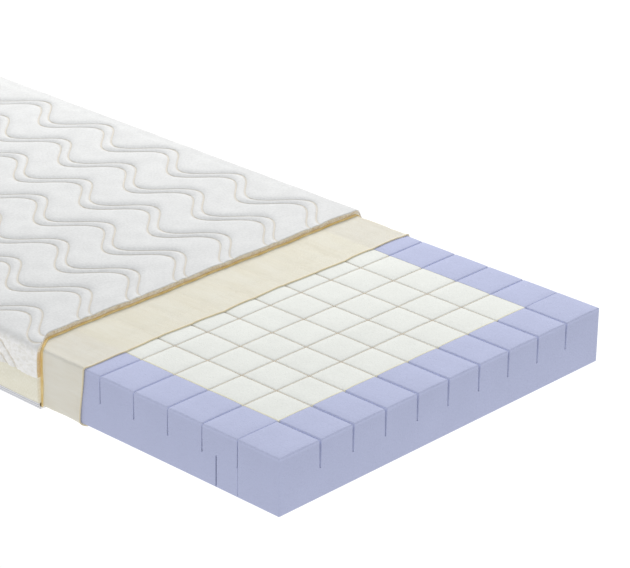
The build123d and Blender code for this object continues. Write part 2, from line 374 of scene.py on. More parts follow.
def sliced_foam(name, low, high, slices_x, slices_y, knives, round_x, round_y, cuts=(), part=None):
    """A block of foam between two corners with slices from the top and cuts from below.
    Every cross section is the same closed loop: over the sliced top from side to side and back
    underneath, through the same places, so that its ends are strips from top to bottom. It is held
    below the slices across, above the flex cuts, and inside the rounded ends.
    round_x and round_y give the radius at the low and the high side, and knives the widths of the
    slices. part is the stretch of the block that this piece is, where the rest is another piece."""
    start, end = part or (low.y, high.y)
    x, drop, lean = across_slices(slices_x, low.x, high.x, knives[1])
    inner = (x > low.x + round_x[0]) & (x < high.x - round_x[1])
    x, drop, lean = x[inner], drop[inner], lean[inner]
    (near_x, near_draw), (far_x, far_draw) = rounded_end(round_x[0]), rounded_end(round_x[1])
    x = np.concatenate([low.x + near_x, x, high.x - far_x[::-1]])
    top_z = high.z - np.concatenate([crown + near_draw, drop, crown + far_draw[::-1]])
    low_z = low.z + np.concatenate([near_draw, 0 * drop, far_draw[::-1]])
    lean = np.concatenate([0 * near_x, lean, 0 * far_x])
    loop_x, loop_z = np.concatenate([x, x[::-1]]), np.concatenate([top_z, low_z[::-1]])
    loop_lean = np.concatenate([lean, 0 * x])

    y, fall, side_y = across_slices(slices_y, low.y, high.y, knives[0], flat_points=5)
    rings = [y, y + side_y * np.clip(slice_depth - fall, 0, 0.05) * 0.07, fall, 0 * y, 0 * y]
    for at in cuts:
        if low.y < at < high.y:
            edge = at + flex_cut_width / 2 * np.array([-1.001, -1, 1, 1.001])
            rise = flex_cut_height * np.array([0, 1, 1, 0])
            rings = with_more(rings, edge, edge, 0 * edge, rise, 0 * edge)
    for side, radius in ((0, round_y[0]), (1, round_y[1])):
        reach, draw = rounded_end(radius)
        edge = low.y + reach if side == 0 else high.y - reach
        keep = (rings[1] > low.y + radius) if side == 0 else (rings[1] < high.y - radius)
        if side == 0 and len(slices_y) and slices_y[0] < low.y + 1e-5:
            continue
        rings = [values[keep] for values in rings]
        rings = with_more(rings, edge, edge, 0 * edge, 0 * edge, draw)
    for at in (start, end):
        if low.y < at < high.y:
            rings = with_more(rings, at, at, 0, 0, 0)
    keep = (rings[1] >= start) & (rings[1] <= end)
    order = np.argsort(rings[1][keep], kind="stable")
    y, low_y, fall, rise, draw_in = (values[keep][order][:, None] for values in rings)

    own_drop = np.clip(high.z - loop_z, 0, None)[None, :]
    lower = own_drop > slice_depth + 0.01
    shared = np.clip(np.minimum(own_drop, fall), 0, slice_lip)
    both = np.where(lower, own_drop, np.maximum(own_drop, fall) + 0.45 * shared)
    z = np.clip(high.z - both, low.z + np.maximum(rise, draw_in), high.z - draw_in)
    across = np.clip(loop_x + loop_lean * draw_in * 0.45, low.x + draw_in, high.x - draw_in)
    across = across + 0 * z
    along = np.where(lower, low_y, y) + 0 * z
    drift = saw_drift * smooth(np.minimum(along - low.y, high.y - along), 0.0, 0.02)
    for seam in (start, end):
        drift = drift * smooth(np.abs(along - seam), 0.0, 0.01)
    drift_x = saw_drift * np.sin(9 * along + 2) * np.sin(31 * across + 2)
    drift_y = drift * np.sin(11 * across + 4 * along) * np.sin(27 * along + 1)
    points = np.stack([across + drift_x, along + drift_y, z], axis=-1)
    # How deep each point lies in a slice. The foam's paint puts painted shading on the slice walls
    # by it.
    cut = np.clip((both - slice_lip * 0.4) / slice_depth, 0, 1) * ~lower
    outside = (np.abs(across - low.x) < 0.001) | (np.abs(across - high.x) < 0.001)
    cut = np.where(outside | (draw_in > 0), 0, cut)
    quads, _ = ring_faces(*z.shape)
    index = np.arange(z.size).reshape(z.shape)
    over, beneath = index[:, : len(x)], index[:, : len(x) - 1 : -1]
    caps = [
        np.stack([over[0, 1:], over[0, :-1], beneath[0, :-1], beneath[0, 1:]], axis=-1),
        np.stack([over[-1, :-1], over[-1, 1:], beneath[-1, 1:], beneath[-1, :-1]], axis=-1),
    ]
    return make_piece(
        name,
        points.reshape(-1, 3),
        np.concatenate([quads, *caps]),
        weights={"cut": cut.ravel()},
        crease=35,
        flat=2 * len(caps[0]),
    )


def shaded(colour, share):
    """A colour with that share of its light."""
    return tuple(min(1, part * share) for part in colour[:3]) + (1,)


def foam_paint(colour, painted_slice_shading, seam=None):
    """Matt open foam: fine cells that catch the light and a slow drift of shade. The second colour
    is painted shading on the walls of the slices, standing in for the light that reaches in there:
    warmer in the white foam, lighter in the lilac. The sides below the top edge carry painted
    shade. seam is the glue that yellows the edge of the white slab."""

    def paint(start):
        place, x, y, z = start.place()
        cells = start.noise(place, 420, 4)
        holes = {"Vector": place, "Scale": 260.0}
        pores = start.node("ShaderNodeTexVoronoi", {"feature": "F1"}, holes)
        mottle = start.noise(place, 14, 3)
        knife = start.noise(place, 60, 2, stretch=(1, 1, 0.12))
        cut = start.attribute("cut")
        shade = (mottle - 0.5) * 0.5 + (cells - 0.5) * 0.8 + 0.5
        tint = shade.ramp(0, 1).mix(shaded(colour, 0.93), shaded(colour, 1.07))
        # Painted shade: the sides below the top edge get a darker copy of the colour, for the
        # lesser light they catch.
        painted_side_shade = z.ramp(slab_high.z - 0.002, slab_high.z - 0.010)
        tint = (painted_side_shade * 0.42).mix(tint, shaded(colour, 0.78))
        # Painted shading on the walls of the slices, in place of the light and shade inside them.
        tint = cut.ramp(0.0, 0.06).mix(tint, painted_slice_shading)
        if seam is not None:
            side = abs(x).ramp(slab_high.x - 0.005, slab_high.x - 0.0005)
            ends = y.ramp(slab_low.y + 0.005, slab_low.y + 0.0005)
            edge = start.math("MAXIMUM", side, ends)
            tint = (edge * 0.6).mix(tint, seam)
        relief = cells * 0.6 + pores.ramp(0.0, 0.6) * 0.5 + knife * 0.8
        return painted(tint, 0.95, gloss=0.15, sheen=0.1, relief=(relief, 0.0008))

    return paint


glued_edge = srgb(248, 241, 205)
# The second colour is painted warm shade for the walls of the slices.
white_paint = foam_paint(srgb(240, 242, 237), srgb(239, 230, 216), seam=glued_edge)
white_foam = material("white_foam", white_paint)


def bend_between(made):
    """Bakes the piece's placement into its points."""
    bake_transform(made)


foam_parts = {
    "foot": ((None, thigh_middle), ("leg", "thigh")),
    "middle": ((thigh_middle, seat_middle), ("thigh", "seat")),
    "head": ((seat_middle, None), ("seat", "back")),
}
stands_for = {"foot": ("leg", "thigh"), "middle": ("seat",), "head": ("back",)}


def foam_lengths(stem, low, high, slices_x, slices_y, knives, round_x, look, slot):
    """Makes the three pieces of a foam layer, hides the parts that they replace, and bakes each in
    place.
    """
    slices = (slices_x, slices_y, knives, round_x, (joint_lip, joint_lip), flex_cuts)
    for part, ((start, end), pair) in foam_parts.items():
        span = (low.y if start is None else start, high.y if end is None else end)
        made = sliced_foam(f"{stem}_{part}", low, high, *slices, span)
        made.data.materials.append(look)
        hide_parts(*[f"{stem}_{length}" for length in stands_for[part]])
        bend_between(made)


cube_slices = (column_places[1:-1], row_places[1:-1], slab_knives)
glued_sides = (joint_lip, joint_lip)
foam_lengths(
    "cube_slab", slab_low, slab_high, *cube_slices, glued_sides, white_foam, "cube_foam"
)

# --------------------------------------------------
# Side rails: firmer lilac foam glued down both long sides, so that the edge carries someone who
# sits on it. They are sliced in line with the cubes, and the slices show on the outside.

# The second colour is painted light that lifts the walls of the slices.
lilac_foam = material("lilac_foam", foam_paint(srgb(194, 200, 230), srgb(212, 217, 240)))
outer_edge = 0.0045
for side in ("right", "left"):
    rail_low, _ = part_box(f"{side}_rail_leg")
    _, rail_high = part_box(f"{side}_rail_back")
    rounding = (outer_edge, joint_lip) if side == "right" else (joint_lip, outer_edge)
    slices = ([], row_places[:-1], rail_knives)
    foam_lengths(f"{side}_rail", rail_low, rail_high, *slices, rounding, lilac_foam, "frame_foam")

# --------------------------------------------------
# End bolsters: the same lilac foam across the whole width at the foot and at the head, sliced in
# line with the columns of cubes and glued to the slab and to the ends of the rails.

for end, body, rounding in (
    ("foot", "leg", (outer_edge, joint_lip)),
    ("head", "back", (joint_lip, outer_edge)),
):
    name, corners = f"{end}_bolster_foam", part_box(f"{end}_bolster")
    slices = (column_places, [], bolster_knives)
    bolster = sliced_foam(name, *corners, *slices, (outer_edge, outer_edge), rounding)
    bolster.data.materials.append(lilac_foam)
    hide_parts(f"{end}_bolster")
    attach(bolster, body)

# --------------------------------------------------
# Inner cover: a tube of fine cream stockinette, knitted thin enough to show the foam through it.
# It is drawn over the core from the head end, where it is sewn shut. Its cut edge rolls a little.

core_low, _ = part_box("foot_bolster")
_, core_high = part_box("head_bolster")
core_edge = 0.004
flat_half = core_high.x - core_edge  # half the flat width of every layer
flat_end = core_high.y - core_edge  # where every layer turns down at the head
inner_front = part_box("inner_cover_leg")[0].y
outer_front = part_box("quilt_face_thigh")[0].y
stockinette_thickness = 0.0009
stockinette_gap = 0.0004
slice_sag = 0.0011
edge_roll = 0.0016


def near_slice(x, y):
    """1 over the middle of a slice of the core and 0 away from it, falling as a bell."""
    from_column = (x - slab_low.x + column_pitch / 2) % column_pitch - column_pitch / 2
    from_row = (y - slab_low.y + row_pitch / 2) % row_pitch - row_pitch / 2
    bell = 0.007
    return np.maximum(np.exp(-((from_column / bell) ** 2)), np.exp(-((from_row / bell) ** 2)))


def section_loop(spacing):
    """A loop round the core's section: points of a rectangle drawn in by the edge radius, and the
    way out from each. Its corners are quarter circles when it is let out."""
    low_z, high_z = core_low.z + core_edge, core_high.z - core_edge
    corners = [(-flat_half, low_z), (-flat_half, high_z), (flat_half, high_z), (flat_half, low_z)]
    base, out = [], []
    for index, corner in enumerate(corners):
        turn = np.pi * 1.5 - np.pi / 2 * index
        angle = np.linspace(turn, turn - np.pi / 2, 6)
        base.append(np.repeat([corner], 6, axis=0))
        out.append(np.column_stack([np.cos(angle), np.sin(angle)]))
        following = np.array(corners[(index + 1) % 4])
        steps = max(2, int(np.hypot(*(following - corner)) / spacing))
        share = np.linspace(0, 1, steps + 1)[1:-1, None]
        base.append(corner + share * (following - corner))
        out.append(np.repeat([[np.cos(angle[-1]), np.sin(angle[-1])]], steps - 1, axis=0))
    return np.concatenate(base), np.concatenate(out)


def sleeve(name, start, end, closed_end=False):
    """A thin sleeve over the core from start to end, and its girth. It sinks a little over every
    slice where nothing covers it, stands off the sides near its cut edge, and that edge rolls
    outwards. At the head it is drawn in and shut."""
    base, out = section_loop(spacing=0.0085)
    y = np.linspace(start, end, int((end - start) / 0.0075) + 1)
    if start == inner_front:  # finer where the edge rolls
        y = np.concatenate([start + np.array([0, 0.001, 0.0022, 0.0036, 0.0052]), y[1:]])
    if closed_end:
        reach, draw = rounded_end(core_edge, 6)
        y = np.concatenate([y[y < end - core_edge], (end - reach)[::-1]])
        drawn = np.concatenate([np.zeros(len(y) - 6), draw[::-1]])
    else:
        drawn = np.zeros(len(y))
    top = np.clip(out[:, 1], 0, 1)[None, :]
    side = np.abs(out[:, 0])[None, :]
    x, z = base[:, 0][None, :], base[:, 1][None, :]
    along = y[:, None] + 0 * x
    bare = 1 - smooth(along, outer_front - 0.035, outer_front - 0.006)
    sag = -slice_sag * near_slice(x, along) * top * bare
    slack = bare * side * (0.0011 + 0.0008 * np.sin(60 * along + 40 * z) * np.sin(23 * z + 1))
    edge = np.exp(-(((along - inner_front) / 0.004) ** 2)) * edge_roll * bare
    wander = np.exp(-(along - inner_front) / 0.05)
    wander = wander * (
        0.0016 * np.sin(21 * x + 2 * z)
        + 0.0009 * np.sin(57 * x + 30 * z)
        + 0.012 * side * smooth(core_high.z - z, 0.0, 0.12)
    )
    layers = []
    for lift in (stockinette_gap + stockinette_thickness + edge, stockinette_gap):
        let_out = core_edge + lift + sag + slack - drawn[:, None]
        coordinates = [x + out[:, 0] * let_out, along + wander, z + out[:, 1] * let_out]
        layers.append(np.stack(coordinates, axis=-1))
    outer, inner = layers
    worn = np.concatenate([np.ones(outer.shape[:2]), np.zeros(inner.shape[:2])])
    if start == inner_front:
        worn[-1] = 1  # the rolled edge hides what is behind it
    girth = np.concatenate([[0], np.cumsum(np.hypot(*np.diff(outer[0][:, [0, 2]], axis=0).T))])
    flat = np.stack([girth[None, :] + 0 * along, along], axis=-1)
    if closed_end:
        rings = np.concatenate([inner[::-1], outer])
        rings[: len(y), :, 1] -= stockinette_thickness * smooth(along[::-1], end - 0.01, end)
        flats = np.concatenate([flat[::-1], flat])
        worn = worn[::-1]
        quads, ends = ring_faces(len(rings), rings.shape[1])
    else:
        rings = np.concatenate([outer, inner[::-1]])
        flats = np.concatenate([flat, flat[::-1]])
        quads, ends = ring_faces(len(rings), rings.shape[1], torus=True)
    weights = {"outside": worn.ravel()}
    made = make_piece(name, rings.reshape(-1, 3), quads, ends, flats.reshape(-1, 2), weights)
    return made, float(girth[-1])


def stockinette_paint(start):
    """Cream knit: upright ribs of stitches a millimetre and a half apart, thinner in places. The
    cut edge is rolled double and hides more. Only the outer face covers, so that light gets in."""
    cloth, across, along = start.cloth()
    outside = start.attribute("outside")
    ribs, rows = across.waves(0.0016), along.waves(0.0011)
    patches = start.noise(cloth, 18, 3, stretch=(1, 0.35, 1))
    streaks = start.noise(cloth, 120, 2, stretch=(1, 0.16, 1))
    shade = patches * 0.6 + streaks * 0.4
    tint = shade.ramp(0.2, 0.8).mix(srgb(252, 246, 226), srgb(255, 252, 238))
    roll = along.ramp(inner_front + 0.006, inner_front + 0.003)
    tint = along.ramp(inner_front + 0.0040, inner_front + 0.0028).mix(tint, srgb(240, 227, 192))
    cover = shade.ramp(0.2, 0.8) * 0.04 + 0.78 + roll * 0.10
    relief = ribs * 0.2 + rows * 0.12 + streaks * 0.6
    feeds = painted(tint, 0.85, gloss=0.2, sheen=0.1, relief=(relief, 0.0005))
    return feeds | {"Alpha": outside.ramp(0.4, 0.6) * cover}


stockinette = material("stockinette", stockinette_paint)
sleeve_parts = {
    "foot": (inner_front, thigh_middle, ("leg", "thigh")),
    "middle": (thigh_middle, seat_middle, ("thigh", "seat")),
    "head": (seat_middle, core_high.y + stockinette_gap + stockinette_thickness, ("seat", "back")),
}
for part, (start, end, pair) in sleeve_parts.items():
    made, girth = sleeve(f"inner_cover_{part}_sleeve", start, end, closed_end=part == "head")
    made.data.materials.append(stockinette)
    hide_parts(*[f"inner_cover_{length}" for length in stands_for[part]])
    bend_between(made)

# --------------------------------------------------
# Quilt lining: thin straw-coloured backing cloth under the wadding, stitched through with it. Below
# the hem it runs on down to the base, behind the border. Its cut edge stands out from the wadding.

turn_length = 0.028  # of cloth, round the shoulder of the quilt
hem_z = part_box("quilt_face_thigh")[0].z
base_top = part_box("quilt_lining_seat")[0].z
skirt_forward = 0.025  # the cut runs this much further forward down the sides
turn_z = core_high.z - core_edge


def past_edges(across, along):
    """How far a place on the flat cloth is past the flat's edges, and the turn of the way out. At
    a corner, past two edges, the distance is the larger one, and the end's share is the turn."""
    beyond_side = np.clip(np.abs(across) - flat_half, 0, None)
    beyond_end = np.clip(along - flat_end, 0, None)
    turn = np.pi / 2 * beyond_end / np.clip(beyond_side + beyond_end, 1e-9, None)
    return np.maximum(beyond_side, beyond_end), turn


def over_core(across, along, out):
    """The point on a layer that lies out from the core, for a place on the flat cloth.
    On the top it is the place itself. Past the flat's edge the cloth first turns down through a
    quarter circle, over turn_length of cloth, and then hangs straight."""
    beyond, turn = past_edges(across, along)
    lean = np.pi / 2 * np.clip(beyond / turn_length, 0, 1)
    out_x = np.sin(lean) * np.cos(turn) * np.sign(across)
    away = np.stack([out_x, np.sin(lean) * np.sin(turn), np.cos(lean)], axis=-1)
    hung = turn_z - np.clip(beyond - turn_length, 0, None)
    flat_x, flat_y = np.clip(across, -flat_half, flat_half), np.minimum(along, flat_end)
    base = np.stack([flat_x, flat_y, hung], axis=-1)
    return base + away * (core_edge + np.asarray(out))[..., None]


def cloth_grid(start, end, low_z, spacing, setback=0.0):
    """Places on the flat cloth from start to end and down to low_z on the sides: across and along.
    The front row follows the cut, which runs forward down the sides, sooner on the right one, and
    wanders a little."""
    reach = flat_half + turn_length + turn_z - low_z
    across = np.linspace(-reach, reach, 2 * int(reach / spacing) + 1)
    rows = max(2, int((end - start) / spacing))
    share = np.linspace(0, 1, rows + 1)
    across, share = np.meshgrid(across, share)
    beyond = np.abs(across) - flat_half
    right = across < 0
    begins, ends = np.where(right, -0.040, 0.020), np.where(right, 0.012, 0.065)
    cut = start - skirt_forward * smooth(beyond, begins, ends) + setback
    cut = cut + 0.0012 * np.sin(19 * across + 1) + 0.0007 * np.sin(71 * across)
    front = cut if start < seat_middle - 0.01 else start + 0 * across
    return across, front + (end - front) * share


def shell(name, outer, inner, flat, coarser=1, **options):
    """A closed layer between two grids of points. The inner one may have only each coarser-th row
    and column. Quads cover both faces, and polygons close the four edges."""
    rows, columns = outer.shape[:2]
    inner = inner[::coarser, ::coarser]
    few_rows, few_columns = inner.shape[:2]
    fine = np.arange(rows * columns).reshape(rows, columns)
    few = rows * columns + np.arange(few_rows * few_columns).reshape(few_rows, few_columns)

    def faces(index):
        corners = [index[:-1, :-1], index[1:, :-1], index[1:, 1:], index[:-1, 1:]]
        return np.stack(corners, axis=-1).reshape(-1, 4)

    rims = []
    for fine_edge, few_edge, turn in (
        (fine[0], few[0], 1),
        (fine[-1], few[-1], -1),
        (fine[:, 0], few[:, 0], -1),
        (fine[:, -1], few[:, -1], 1),
    ):
        for index in range(len(few_edge) - 1):
            along_edge = fine_edge[index * coarser : (index + 1) * coarser + 1]
            rim = np.concatenate([along_edge, [few_edge[index + 1], few_edge[index]]])
            rims.append(rim[::turn])
    quads = np.concatenate([faces(fine), faces(few)[:, ::-1]])
    points = np.concatenate([outer.reshape(-1, 3), inner.reshape(-1, 3)])
    cloth = np.concatenate([flat.reshape(-1, 2), flat[::coarser, ::coarser].reshape(-1, 2)])
    return make_piece(name, points, quads, rims, cloth=cloth, **options)


cover_parts = {
    "front": (outer_front, seat_middle, ("thigh", "seat"), ("thigh", "seat")),
    "head": (seat_middle, None, ("seat", "back"), ("back",)),
}


def lining_paint(start):
    """Plain weave in straw-coloured thread, seen mostly edge on."""
    cloth, across, along = start.cloth()
    weave = across.waves(0.0012) * along.waves(0.0012)
    slubs = start.noise(cloth, 240, 2, stretch=(0.2, 1, 1))
    tint = slubs.ramp(0.3, 0.7).mix(srgb(234, 202, 130), srgb(247, 224, 168))
    return painted(tint, 0.85, gloss=0.2, relief=(weave * 0.3 + slubs * 0.5, 0.0004))


lining_cloth = material("lining_cloth", lining_paint)
lining_out = 0.0028
lining_thickness = 0.0011
lining_shows = 0.0048  # how far its cut edge stands out from under the quilt's
for part, (start, end, pair, lengths) in cover_parts.items():
    last = flat_end + turn_length + turn_z - base_top if end is None else end
    across, along = cloth_grid(start, last, base_top, 0.0075, setback=-lining_shows)
    bead = 0.0018 * np.exp(-(((along - along[0]) / 0.007) ** 2)) if part == "front" else 0
    outer = over_core(across, along, lining_out + bead + 0 * across)
    inner = over_core(across, along, lining_out - lining_thickness + 0 * across)
    made = shell(f"quilt_lining_{part}", outer, inner, np.stack([across, along], axis=-1))
    made.data.materials.append(lining_cloth)
    width = 2 * (flat_half + turn_length + turn_z - base_top)
    flat = (width, last - start)
    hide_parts(*[f"quilt_lining_{length}" for length in lengths])
    bend_between(made)

# --------------------------------------------------
# Quilt face: a thick white knit with a dry, slightly crinkled surface, stitched through the wadding
# in pairs of waves that run the length of the bed and carry on down the skirts to the hem.

face_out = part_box("quilt_face_seat")[1].z - core_high.z
wave_length = 0.210
wave_reach = 0.039
pair_pitch = 0.1276
pair_gap = 0.030
first_line = core_low.x + 0.063
crest_place = core_low.y + 0.750
stitch_depth = 0.0046
stitch_reach = 0.0052
puff_rise = 0.0018
puff_reach = 0.014
crease_rise = 0.0008
ripple_rise = 0.0004
face_thickness = 0.0024
quilt_spacing = 0.0036


def to_nearest(value):
    """How far a number, an array or a socket is from the nearest whole number of pair_pitch."""
    return abs((value + pair_pitch / 2) % pair_pitch - pair_pitch / 2)


def stitch_distance(across, along):
    """How far a place on the flat cloth is from the nearest line of stitches. The lines are cosine
    waves along the bed, in pairs, and the distance across is turned to the wave's own slope."""
    phase = 2 * np.pi * (along - crest_place) / wave_length
    slope = wave_reach * 2 * np.pi / wave_length * np.sin(phase)
    from_first = across - first_line - wave_reach * np.cos(phase)
    both = np.minimum(to_nearest(from_first), to_nearest(from_first + pair_gap))
    return both / np.sqrt(1 + slope**2)


def quilt_relief(across, along):
    """How far the quilt's face stands from flat: a narrow valley at each line of stitches, a slow
    swell between them, and small creases on the skirts, where nothing pulls the cloth tight."""
    away = stitch_distance(across, along)
    beyond = np.maximum(np.abs(across) - flat_half, along - flat_end)
    tight = 1 - 0.6 * np.exp(-(((beyond - turn_length / 2) / 0.022) ** 2))
    tight = tight * (1 - np.exp(-(((across - flat_half) / 0.024) ** 4)))
    to_corner = np.minimum(np.abs(across) - flat_half, along - flat_end)
    smooth_corner = 1 - smooth(to_corner, -0.016, 0.004)
    valley = -stitch_depth * np.exp(-((away / stitch_reach) ** 1.3)) * tight
    swell = puff_rise * (1 - np.exp(-((away / puff_reach) ** 2))) * tight
    hang = smooth(beyond, 0.004, 0.03)
    creases = np.sin(210 * along + 90 * across) * np.sin(160 * across - 60 * along)
    creases = creases + 0.7 * np.sin(380 * along - 240 * across + 2 * np.sin(40 * along))
    ripple = np.sin(46 * along + 17 * across) * np.sin(39 * across + 8 * along + 1)
    small = crease_rise * hang * creases + ripple_rise * ripple
    return smooth_corner * (valley + swell + small)


def face_paint(start):
    """White knit: fine ribs of loops with a dry crinkle, and painted straw-tinted shade along the
    stitch lines, in their grooves.
    """
    cloth, across, along = start.cloth()
    phase = (along - crest_place) * (2 * math.pi / wave_length)
    wave = (phase + math.pi / 2).sine() * wave_reach
    slope = phase.sine() * (wave_reach * 2 * math.pi / wave_length)
    from_first = across - first_line - wave
    both = start.math("MINIMUM", to_nearest(from_first), to_nearest(from_first + pair_gap))
    away = both / (slope * slope + 1) ** 0.5
    pulled_flat = abs(across - flat_half).ramp(0.010, 0.024)
    # seam marks each line of stitches: it sinks the line in the relief and carries painted shade in
    # the colour.
    seam = away.ramp(0.0036, 0.0) * pulled_flat
    ribs = across.waves(0.0022)
    loops = (along * (2 * math.pi / 0.0017) + ribs * 1.2).sine()
    crinkle = start.noise(cloth, 260, 4, stretch=(1, 0.55, 1))
    drift = start.noise(cloth, 22, 3)
    shade = crinkle * 0.6 + drift * 0.4
    hang = start.math("MAXIMUM", abs(across) - flat_half, along - flat_end).ramp(0.0, 0.03)
    tufts = start.noise(cloth, 150, 4, stretch=(1, 0.6, 1))
    tint = shade.ramp(0.3, 0.7).mix(srgb(223, 224, 224), srgb(236, 237, 237))
    side_tint = tufts.ramp(0.3, 0.62).mix(srgb(242, 240, 233), srgb(254, 253, 251))
    tint = hang.mix(tint, side_tint)
    # Painted shade: a straw tint along the stitch lines for the shade in their grooves.
    tint = (seam * 0.65).mix(tint, srgb(234, 224, 204))
    relief = ribs * 0.10 + loops * 0.08 + crinkle * 0.9 - seam * 1.7 + hang * tufts * 2.8
    return painted(tint, 0.82, gloss=0.25, sheen=0.25, relief=(relief, 0.0008))


def cut_relief(across, along):
    """The relief of the length that is cut: the wadding relaxes, and it fades towards the cut."""
    return quilt_relief(across, along) * (0.35 + 0.65 * smooth(along - along[0], 0.0, 0.018))


# The head length is too large for a fine inner face, so that face has each sixth row and column
# and lies as deep as the stitches.
quilt_knit = material("quilt_knit", face_paint)
for part, (start, end, pair, lengths) in cover_parts.items():
    last = flat_end + turn_length + turn_z - hem_z if end is None else end
    across, along = cloth_grid(start, last, hem_z, quilt_spacing)
    if part == "front":
        coarser = 1
        relief = flush = cut_relief(across, along)
    else:
        coarser = 6
        rows, columns = ((size - 1) // coarser * coarser + 1 for size in across.shape)
        wide = np.linspace(across[0, 0], across[0, -1], columns)
        across, along = np.meshgrid(wide, start + (last - start) * np.linspace(0, 1, rows))
        relief = quilt_relief(across, along)
        flush = -stitch_depth + 0 * relief
    outer = over_core(across, along, face_out + relief)
    inner = over_core(across, along, face_out + flush - face_thickness)
    flat = np.stack([across, along], axis=-1)
    made = shell(f"quilt_face_{part}", outer, inner, flat, coarser, crease=50)
    made.data.materials.append(quilt_knit)
    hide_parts(*[f"quilt_face_{length}" for length in lengths])
    bend_between(made)

# --------------------------------------------------
# Quilt wadding: fibre fleece between the face and the lining. It shows only where the cover is cut,
# as a mottled grey and tan layer that fills the quilt.


def wadding_paint(start):
    """Matted fibres: tangled streaks along the layer in grey, tan and cream, with painted golden
    shade below the shoulder, where the layer turns down the sides.
    """
    place, x, y, z = start.place()
    tangle = start.noise(place, 420, 5)
    clumps = start.noise(place, 90, 3)
    strata = start.noise(place, 150, 3, stretch=(0.25, 0.25, 2.2))
    shade = tangle * 0.45 + clumps * 0.25 + strata * 0.3
    tint = shade.ramp(0.36, 0.60).mix(srgb(222, 204, 172), srgb(248, 243, 231))
    # Painted shade: the wadding turns gold below the shoulder, for the lesser light on the sides.
    turned = z.ramp(turn_z + 0.004, turn_z - 0.006)
    tint = (turned * 0.7).mix(tint, srgb(228, 198, 142))
    return painted(tint, 0.95, gloss=0.1, relief=(tangle + strata, 0.0012))


wadding_fleece = material("wadding_fleece", wadding_paint)
layer_gap = 0.0001
for part, (start, end, pair, lengths) in cover_parts.items():
    last = flat_end + turn_length + turn_z - hem_z if end is None else end
    spacing = quilt_spacing if part == "front" else 0.012
    across, along = cloth_grid(start, last, hem_z, spacing, setback=0.0008)
    relief = cut_relief(across, along) if part == "front" else -stitch_depth + 0 * across
    outer = over_core(across, along, face_out + relief - face_thickness - layer_gap)
    inner = over_core(across, along, lining_out + layer_gap + 0 * across)
    made = shell(f"quilt_wadding_{part}", outer, inner, np.stack([across, along], axis=-1))
    made.data.materials.append(wadding_fleece)
    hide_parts(*[f"quilt_wadding_{length}" for length in lengths])
    bend_between(made)

# --------------------------------------------------
# Border: a plain cream band, three layers thick, sewn between the hem and the base. At the head end
# it is stepped back under the hem to take the zip.

border_low, border_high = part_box("cover_border_back")
border_out = border_high.x - core_high.x
zip_low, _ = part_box("zip_tape_lower")
_, zip_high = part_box("zip_tape_upper")
zip_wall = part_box("zip_tape_upper")[0].y - 0.0026  # the band behind the tapes
pocket_depth = border_high.y - zip_wall
pocket_step = 0.0004  # from the band's face to the pocket's floor, along the band
band_bulge = 0.0016
seam_pull = 0.0012


def side_line(start, spacing, corner_points=9):
    """The line of the border seen from above, drawn in by the edge radius, with the way out from
    each point: up the right side from start, round the head end and down the left side."""
    straight = np.linspace(start, flat_end, int((flat_end - start) / spacing) + 1)
    right = np.column_stack([np.full(len(straight), -flat_half), straight])
    ends = np.linspace(-flat_half, flat_half, int(2 * flat_half / spacing) + 1)
    pocket = np.array([zip_low.x, zip_high.x])
    ends = np.sort(np.concatenate([ends[1:-1], pocket - pocket_step, pocket + pocket_step]))
    head = np.column_stack([ends, np.full(len(ends), flat_end)])
    angle = np.linspace(np.pi, np.pi / 2, corner_points)
    first_corner = np.repeat([[-flat_half, flat_end]], corner_points, axis=0)
    first_out = np.column_stack([np.cos(angle), np.sin(angle)])
    half = np.concatenate([right[:-1], first_corner])
    half_out = np.concatenate([np.repeat([[-1.0, 0.0]], len(right) - 1, axis=0), first_out])
    mirror = np.array([-1.0, 1.0])
    line = np.concatenate([half, head, (half * mirror)[::-1]])
    head_out = np.repeat([[0.0, 1.0]], len(head), axis=0)
    return line, np.concatenate([half_out, head_out, (half_out * mirror)[::-1]])


def border_layer(line, out, heights, let_out):
    """Points of the band: each point of the line, let out along its way out, at each height."""
    x = line[None, :, 0] + out[None, :, 0] * (core_edge + let_out)
    y = line[None, :, 1] + out[None, :, 1] * (core_edge + let_out)
    return np.stack([x, y, heights[:, None] + 0 * x], axis=-1)


def band_swell(height, along):
    """The band swells a little between its two seams, and ripples along its length."""
    share = (height - border_low.z) / (border_high.z - border_low.z)
    swell = band_bulge * np.sin(np.pi * np.clip(share, 0, 1)) - seam_pull * np.exp(-share * 14)
    ripple = 0.0005 * np.sin(37 * along + 9 * share)
    return swell - seam_pull * np.exp((share - 1) * 14) + ripple


def border_paint(start):
    """Cream warp knit: fine upright ribs, a soft grain and a faint drift of colour."""
    cloth, across, along = start.cloth()
    ribs = across.waves(0.0018)
    grain = start.noise(cloth, 500, 3, stretch=(1, 0.4, 1))
    shade = grain * 0.5 + start.noise(cloth, 9, 2) * 0.5
    tint = shade.ramp(0.35, 0.65).mix(srgb(237, 233, 213), srgb(249, 246, 231))
    relief = ribs * 0.16 + grain * 0.8
    return painted(tint, 0.85, gloss=0.2, sheen=0.2, relief=(relief, 0.0005))


border_knit = material("border_knit", border_paint)


def band_grid(line, out, heights):
    """The outer and inner faces of the band, and its place on the flat cloth."""
    run = np.concatenate([[0], np.cumsum(np.hypot(*np.diff(line, axis=0).T))])
    run = run + np.linspace(0, 1e-3, len(run))
    height, way = np.meshgrid(heights, run, indexing="ij")
    let_out = border_out - 0.0006 + band_swell(height, way)
    in_pocket = (line[:, 0] > zip_low.x) & (line[:, 0] < zip_high.x) & (out[:, 1] > 0.999)
    in_pocket = in_pocket[None, :] & (height > zip_low.z)
    outer_out = np.where(in_pocket, border_out - pocket_depth, let_out)
    inner_out = lining_out + 0.0002 + 0 * let_out
    outer = border_layer(line, out, heights, outer_out)
    inner = border_layer(line, out, heights, inner_out)
    return outer, inner, np.stack([way, height], axis=-1)


